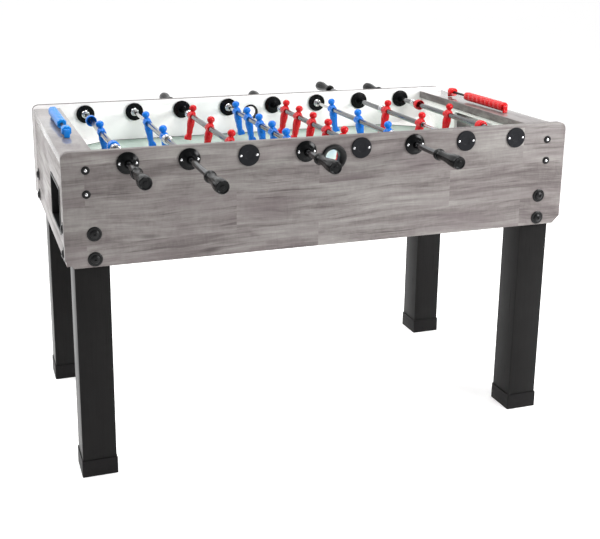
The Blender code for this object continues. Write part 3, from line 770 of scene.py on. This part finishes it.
washers, heads = bmesh.new(), bmesh.new()
for label, end in (("left", -1), ("right", 1)):
    for depth_label, side in (("front", -1), ("back", 1)):
        node = f"{depth_label}_{label}"
        cap_low, cap_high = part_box(f"{node}_foot")
        centre_x, centre_y = (cap_low.x + cap_high.x) / 2, (cap_low.y + cap_high.y) / 2
        half = LEG / 2
        bm = block(bmesh.new(), (centre_x - half, centre_y - half, LEG_LOW),
                   (centre_x + half, centre_y + half, LEG_TOP), 0.0022, 3)
        piece(f"{node}_leg_post", bm, LEG_BLACK, "cabinet", [f"{node}_leg"])
        bm = bmesh.new()
        rings = []
        outer = half + 0.0026
        for grow, z in ((-0.004, 0.0), (0, 0.0), (0, CAP_HIGH - 0.0025), (-0.0006, CAP_HIGH),
                        (-0.0023, CAP_HIGH), (-0.0023, LEG_LOW - GAP)):
            reach = outer + grow
            ring = rounded([(-reach, -reach), (reach, -reach), (reach, reach), (-reach, reach)],
                           0.003, steps=4)
            rings.append([bm.verts.new((centre_x + a, centre_y + b, z)) for a, b in ring])
        for first, second in zip(rings, rings[1:]):
            for i in range(len(first)):
                j = (i + 1) % len(first)
                bm.faces.new((first[i], first[j], second[j], second[i]))
        bm.faces.new(rings[0][::-1])
        bm.faces.new(rings[-1])
        piece(f"{node}_foot_cap", bm, CAP_BLACK, "cabinet", [f"{node}_foot"])
        for z in LEG_BOLT_Z:
            for where in (facing(end * LEG_BOLT_X, side * (HALF_OUT + GAP), z, side),
                          endways(end * (END_FACE + GAP), side * (HALF_IN - GAP - half), z, end)):
                lathe(washers, [(0.0085, 0), (0.019, 0), (0.0190, -0.0012), (0.0165, -0.0025),
                                (0.0118, -0.0025), (0.0085, -0.0012)], where, fillet=0.0005)
                add_mesh(heads, BIG_HEAD, where @ Matrix.Translation((0, -0.0023, 0)))
piece("leg_bolt_washers", washers, WASHER, "cabinet")
piece("leg_bolt_heads", heads, WASHER, "cabinet")

washers, domes = bmesh.new(), bmesh.new()
for end in (-1, 1):
    for side in (-1, 1):
        for z in SIDE_BOLT_Z:
            where = facing(end * SIDE_BOLT_X, side * (HALF_OUT + GAP), z, side)
            lathe(washers, [(0.0034, 0), (0.0108, 0), (0.0108, -0.0010), (0.0090, -0.0020),
                            (0.0056, -0.0020), (0.0034, -0.0008)], where, fillet=0.0004)
            add_mesh(domes, DOME, where @ Matrix.Translation((0, -0.0016, 0)))
piece("side_bolt_washers", washers, WASHER, "cabinet")
piece("side_bolt_domes", domes, BRIGHT, "cabinet")

# Bearings, closed bushings and their screws

screws, closed_discs, sockets = bmesh.new(), bmesh.new(), bmesh.new()
for rod in RODS:
    x, z, side = rod["x"], rod["z"], rod["side"]
    outer, inner = -HALF_OUT, -HALF_IN
    bore = ROD_R + 0.0004
    profile = [(bore, inner + DISC), (0.0120, inner + DISC), (0.0150, inner + DISC - 0.0015),
               (FLANGE_R, inner + DISC - 0.0020), (FLANGE_R, inner + GAP),
               (STEM_R, inner + GAP, 0.0), (STEM_R, outer - GAP, 0.0),
               (FLANGE_R, outer - GAP), (FLANGE_R, outer - 0.0032),
               (0.0262, outer - 0.0042), (0.0205, outer - 0.0066), (0.0152, outer - 0.0104),
               (0.0122, outer - 0.0130), (0.0098, outer - 0.0130), (bore, outer - 0.0118)]
    bm = lathe(bmesh.new(), profile, facing(x, 0, z, side), 72, fillet=0.0009)
    piece(f"{rod['label']}_bearing", bm, BEARING, "cabinet",
          [f"{rod['label']}_bushing"])
    for offset in (-SCREW_OFFSET, SCREW_OFFSET):
        add_mesh(screws, SCREW, facing(x + offset, side * (HALF_OUT + 0.0056), z, side))
        add_mesh(screws, SCREW, facing(x + offset, -side * (HALF_OUT + 0.0034), z, -side))
    lathe(closed_discs, [(0, outer - GAP, 0.0), (FLANGE_R, outer - GAP),
                         (FLANGE_R, outer - 0.0034),
                         (FLANGE_R - 0.0008, outer - 0.0040), (0.0115, outer - 0.0040),
                         (0.0105, outer - 0.0034), (0, outer - 0.0034, 0.0)],
          facing(x, 0, z, -side), 72, closed=False, fillet=0.0004)
    lathe(sockets, [(CORE_R + 0.0005, inner + 0.0005), (FLANGE_R, inner + 0.0005),
                    (FLANGE_R, inner + DISC - 0.0010), (FLANGE_R - 0.0010, inner + DISC),
                    (0.0150, inner + DISC), (0.0142, inner + DISC - 0.0008),
                    (CORE_R + 0.0005, inner + DISC - 0.0008)],
          facing(x, 0, z, -side), 72, fillet=0.0004)
piece("bushing_screws", screws, BRIGHT, "cabinet")
piece("closed_bushing_discs", closed_discs, DISC_BLACK, "cabinet")
piece("socket_discs", sockets, BEARING, "cabinet")


# Rods

def make_man():
    """One player about the rod's axis, toe towards +X: head, arms, kit, legs and foot block."""
    bm = bmesh.new()
    loft(bm, [(-0.0235, 0, 0, 0.0096, 0.0128, 2.8), (-0.0190, 0, 0, 0.0101, 0.0131, 2.8),
              (-0.0120, 0, 0, 0.0095, 0.0124, 2.6), (-0.0060, 0, 0, 0.0088, 0.0118, 2.5),
              (0.0000, 0.0004, 0, 0.0098, 0.0126, 2.5), (0.0060, 0.0005, 0, 0.0102, 0.0136, 2.5),
              (0.0105, 0, 0, 0.0094, 0.0134, 2.4), (0.0135, 0, 0, 0.0076, 0.0106, 2.2),
              (0.0155, 0, 0, 0.0062, 0.0076, 2.0), (0.0175, 0, 0, 0.0056, 0.0060, 2.0),
              (0.0225, 0.0002, 0, 0.0055, 0.0057, 2.0)], 28)
    for side in (-1, 1):
        loft(bm, [(-0.0700, 0, side * 0.0042, 0.0058, 0.0046, 2.4),
                  (-0.0600, 0, side * 0.0044, 0.0062, 0.0047, 2.3),
                  (-0.0500, -0.0006, side * 0.0050, 0.0074, 0.0054, 2.2),
                  (-0.0400, 0, side * 0.0053, 0.0074, 0.0055, 2.2),
                  (-0.0300, 0, side * 0.0060, 0.0086, 0.0062, 2.3),
                  (-0.0200, 0, side * 0.0064, 0.0092, 0.0066, 2.4)], 20)
        loft(bm, [(-0.0235, 0.0012, side * 0.0138, 0.0024, 0.0019, 2.0),
                  (-0.0215, 0.0012, side * 0.0139, 0.0036, 0.0025, 2.2),
                  (-0.0170, 0.0010, side * 0.0139, 0.0037, 0.0026, 2.2),
                  (-0.0100, 0.0004, side * 0.0140, 0.0040, 0.0029, 2.2),
                  (-0.0030, 0, side * 0.0138, 0.0046, 0.0032, 2.2),
                  (0.0040, 0, side * 0.0134, 0.0051, 0.0035, 2.2),
                  (0.0098, 0, side * 0.0124, 0.0047, 0.0036, 2.0),
                  (0.0128, 0, side * 0.0100, 0.0032, 0.0030, 2.0)], 16)
    loft(bm, [(-0.0755, 0.0018, 0, 0.0094, 0.0086, 4.0), (-0.0745, 0.0018, 0, 0.0101, 0.0093, 4.0),
              (-0.0665, 0.0016, 0, 0.0099, 0.0093, 4.0), (-0.0635, 0.0010, 0, 0.0090, 0.0090, 3.6),
              (-0.0595, 0.0002, 0, 0.0072, 0.0085, 3.0), (-0.0560, 0, 0, 0.0062, 0.0082, 2.6)], 32)
    tilts = [math.radians(-82 + 13.7 * i) for i in range(13)]
    loft(bm, [(0.0256 + 0.0106 * math.sin(a), 0.0004, 0, 0.0104 * math.cos(a),
               0.0096 * math.cos(a), 2) for a in tilts], 24)
    lathe(bm, [(0, -0.0152, 0.0), (0.0100, -0.0152), (0.0106, -0.0140), (0.0106, 0.0140),
               (0.0100, 0.0152), (0, 0.0152, 0.0)], steps=28, closed=False)
    bmesh.ops.scale(bm, vec=(1.12, 1.06, 1.0), verts=bm.verts[:])
    return modified(bm, ("REMESH", {"mode": "VOXEL", "voxel_size": 0.00055}),
                    ("SMOOTH", {"factor": 0.6, "iterations": 4}),
                    ("DECIMATE", {"ratio": 0.12}))


MAN = make_man()
FLUTES = 8


def flute(y, angle):
    """Eight shallow flats down the grip, deepest on the bulb."""
    share = max(0.0, min(1.0, (-y - 0.045) / 0.025)) * max(0.0, min(1.0, (0.111 + y) / 0.008))
    return -0.0009 * share * (0.5 + 0.5 * math.cos(FLUTES * angle)) ** 2


for rod in RODS:
    label, team, kind = rod["label"], rod["team"], rod["kind"]
    turn = 0 if team == "blue" else math.pi
    core_place = (Matrix.Translation((rod["x"], MID_Y, rod["z"])) @ Matrix.Rotation(turn, 4, "Z"))
    place = (Matrix.Translation((rod["x"], MID_Y + rod["slid"], rod["z"]))
             @ Matrix.Rotation(turn, 4, "Z") @ Matrix.Rotation(-LEAN, 4, "Y"))
    slid = rod["slid"] if team == "blue" else -rod["slid"]
    men, stops = MEN[kind], STOPS.get(kind, ())
    travel = rod["travel"]
    last = max(men + stops)
    far = last + 0.020
    start = -(HANDLE_START + travel)
    near = start - 0.085  # inside the grip
    core_tip = far - travel - slid - 0.06
    bore = CORE_R + 0.0006
    bore_end = core_tip - travel + slid - 0.018
    bm = lathe(bmesh.new(), [(0, near), (ROD_R - 0.0001, near), (ROD_R - 0.0001, far), (bore, far),
                             (bore, bore_end), (0, bore_end)], place, 40,
               closed=False, fillet=0.0006)
    piece(f"{label}_tube", bm, TUBE_STEEL_PAINTED_DARKER, label, [f"{label}_rod"])
    bm = bmesh.new()
    for y in men:
        add_mesh(bm, MAN, place @ Matrix.Translation((0, y, 0)))
    piece(f"{label}_men", bm, TEAM[team], label, angle=60)
    if stops:
        bm = bmesh.new()
        for y in stops:
            flip = Matrix.Rotation(0 if y > 0 else math.pi, 4, "Z")
            lathe(bm, [(0.0080, 0.010), (0.0120, 0.010), (0.0150, 0.0085), (0.0165, 0.0050),
                       (0.0165, -0.012), (0.0140, -0.012), (0.0134, 0.002), (0.0080, 0.003)],
                  place @ Matrix.Translation((0, y, 0)) @ flip, 56, fillet=0.0012)
        piece(f"{label}_stop_collars", bm, TEAM[team], label)
    bumper = -last - 0.030
    half, coils = 0.011, 6
    pitch = 2 * half / coils
    profile = [(0.0080, bumper - half)]
    for coil in range(coils):
        y = bumper - half + coil * pitch
        profile += [(0.0112, y + 0.06 * pitch), (0.0129, y + 0.28 * pitch),
                    (0.0129, y + 0.62 * pitch), (0.0112, y + 0.90 * pitch)]
    profile.append((0.0080, bumper + half))
    piece(f"{label}_bumper", lathe(bmesh.new(), profile, place, fillet=0.0007), BRIGHT, label)
    grip = [(0.0081, 0.0), (0.0132, 0.0), (0.0154, -0.0028), (0.0156, -0.0070), (0.0154, -0.0112),
            (0.0132, -0.0142), (0.0120, -0.0190), (0.0115, -0.0280), (0.0117, -0.0380),
            (0.0128, -0.0520), (0.0149, -0.0680), (0.0167, -0.0800), (0.0176, -0.0900),
            (0.0177, -0.1000), (0.0172, -0.1080), (0.0162, -0.1130), (0.0148, -0.1150),
            (0.0128, -0.1150), (0.0118, -0.1132), (0.0060, -0.1132), (0.0052, -0.1146),
            (0, -0.1146, 0.0)]
    bm = lathe(bmesh.new(), grip, place @ Matrix.Translation((0, start, 0)), 64, closed=False,
               fillet=0.0025, swell=flute)
    piece(f"{label}_grip", bm, GRIP, label, [f"{label}_handle"])
    hub = HALF_IN - DISC - GAP
    profile = [(0, HALF_IN + 0.004), (CORE_R, HALF_IN + 0.004), (CORE_R, hub), (0.0118, hub),
               (0.0128, hub - 0.0012), (0.0128, hub - 0.0040), (0.0112, hub - 0.0060),
               (0.0085, hub - 0.0060), (0.0078, hub - 0.0048), (CORE_R, hub - 0.0048),
               (CORE_R, core_tip + slid), (0, core_tip + slid)]
    bm = lathe(bmesh.new(), profile, core_place, 40, closed=False, fillet=0.0004)
    piece(f"{label}_core_rod", bm, CORE, f"{label}_core", [f"{label}_inner_rod"])

# Scoring

for label, end, team in (("left", -1, "blue"), ("right", 1, "red")):
    low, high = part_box(f"{label}_score_rail")
    x = (low.x + high.x) / 2
    rail_z = high.z - 0.006
    bm = bmesh.new()
    for y in (low.y + 0.0005, high.y - 0.0065):
        block(bm, (x - 0.0080, y, low.z), (x + 0.0080, y + 0.0060, high.z), 0.0028, 3)
    for face in bm.faces:
        face.material_index = 1
    lathe(bm, [(0, low.y + 0.003), (0.004, low.y + 0.003), (0.004, high.y - 0.003),
               (0, high.y - 0.003)],
          Matrix.Translation((x, 0, rail_z)), 32, closed=False, fillet=0.0)
    bead_paint = BEAD_BLUE if team == "blue" else BEAD_RED
    piece(f"{label}_rail", bm, [ENTRY_BLACK, bead_paint], "cabinet",
          [f"{label}_score_rail"])
    for part in ("block", "bead"):
        node = f"{label}_score_{part}"
        low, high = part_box(node)
        bm = bmesh.new()
        count = round((high.y - low.y) / BEAD)
        side, corner = 0.0128, 0.0066
        shape = [(side, -corner), (side, corner), (corner, side), (-corner, side),
                 (-side, corner), (-side, -corner), (-corner, -side), (corner, -side)]
        for i in range(count):
            top = high.y - i * BEAD - 0.0001
            bottom = top - BEAD + 0.0002
            rings = [[bm.verts.new((x + a * size, y, rail_z + b * size)) for a, b in shape]
                     for size, y in ((0.34, top), (0.86, top), (1.0, top - 0.0024),
                                     (1.0, bottom + 0.0024), (0.86, bottom), (0.34, bottom))]
            for first, second in zip(rings, rings[1:] + rings[:1]):
                for j in range(8):
                    k = (j + 1) % 8
                    bm.faces.new((first[j], first[k], second[k], second[j]))
        edges = [edge for edge in bm.edges if edge.calc_face_angle(0) > 0.5
                 and all((vert.co - Vector((x, vert.co.y, rail_z))).length > 0.008
                         for vert in edge.verts)]
        bmesh.ops.bevel(bm, geom=edges, offset=0.0009, segments=3, profile=0.5, affect="EDGES")
        piece(f"{node}_beads", bm, bead_paint, node, [node], 50)

# Studio

floor_bm = bmesh.new()
bmesh.ops.create_grid(floor_bm, x_segments=2, y_segments=2, size=30)
floor_mesh = bpy.data.meshes.new("studio_floor")
floor_bm.to_mesh(floor_mesh)
floor_bm.free()
floor = bpy.data.objects.new("studio_floor", floor_mesh)
bpy.context.scene.collection.objects.link(floor)
floor_paint = Paint("studio_white", Emission_Color=(1, 1, 1, 1), Emission_Strength=0.36)
floor_mesh.materials.append(floor_paint.finish(
    floor_paint.ramp(floor_paint.noise(3, 2), (0.3, srgb(246, 246, 246)),
                     (0.7, srgb(249, 249, 249))), 0.7))

# A pale room with a white horizon, darker above it towards both sides and behind the camera
world = bpy.data.worlds.new("studio")
bpy.context.scene.world = world
room = Nodes(world)
towards = room.node("ShaderNodeTexCoord").outputs["Generated"]
axes = room.node("ShaderNodeSeparateXYZ", {"Vector": towards})
smooth = {"interpolation_type": "SMOOTHSTEP"}
sides = room.spread(room.maths("ABSOLUTE", axes.outputs["X"]), 1.0, 0.18, 0.45, 0.85, **smooth)
behind = room.spread(axes.outputs["Y"], 0.35, 1.0, -0.9, 0.3, **smooth)
horizon = room.spread(axes.outputs["Z"], 1.0, 0.0, 0.16, 0.30, **smooth)
level = room.maths("MAXIMUM", room.maths("MULTIPLY", sides, behind), horizon)
background = room.nodes["Background"].inputs
room.feed(background["Strength"], level)
room.feed(background["Color"], (1, 1, 1, 1))


def softbox(name, place, target, size, power):
    """A rectangular area light, turned to face its target. Its power is in watts."""
    light = bpy.data.lights.new(name, "AREA")
    light.shape = "RECTANGLE"
    light.size, light.size_y = size
    light.energy = power
    obj = bpy.data.objects.new(name, light)
    obj.location = place
    obj.rotation_euler = (Vector(target) - Vector(place)).to_track_quat("-Z", "Y").to_euler()
    bpy.context.scene.collection.objects.link(obj)


softbox("key", (-2.6, 1.2, 3.4), (0, 0, 0.7), (2.4, 2.4), 90)
softbox("fill", (2.0, -1.9, 1.6), (0.8, -0.3, 0.7), (1.0, 1.0), 74)
softbox("top", (0.2, 0.0, 3.4), (0, 0, 0.7), (2.6, 1.4), 62)

CAMERA_PLACE = (-0.9637, -2.7307, 1.3873)
CAMERA_YAW = math.radians(17.899)
CAMERA_PITCH = math.radians(13.898)
CAMERA_ROLL = math.radians(0.152)
camera_data = bpy.data.cameras.new("camera")
camera_data.sensor_width = 36
camera_data.lens = 58.14
camera_data.shift_x = 0.0700
camera_data.shift_y = -0.1458
camera_data.clip_end = 100
camera = bpy.data.objects.new("camera", camera_data)
camera.matrix_world = (Matrix.Translation(CAMERA_PLACE) @ Matrix.Rotation(-CAMERA_YAW, 4, "Z")
                       @ Matrix.Rotation(math.pi / 2 - CAMERA_PITCH, 4, "X")
                       @ Matrix.Rotation(CAMERA_ROLL, 4, "Z"))
bpy.context.scene.collection.objects.link(camera)
bpy.context.scene.camera = camera
bpy.context.scene.view_settings.view_transform = "Standard"
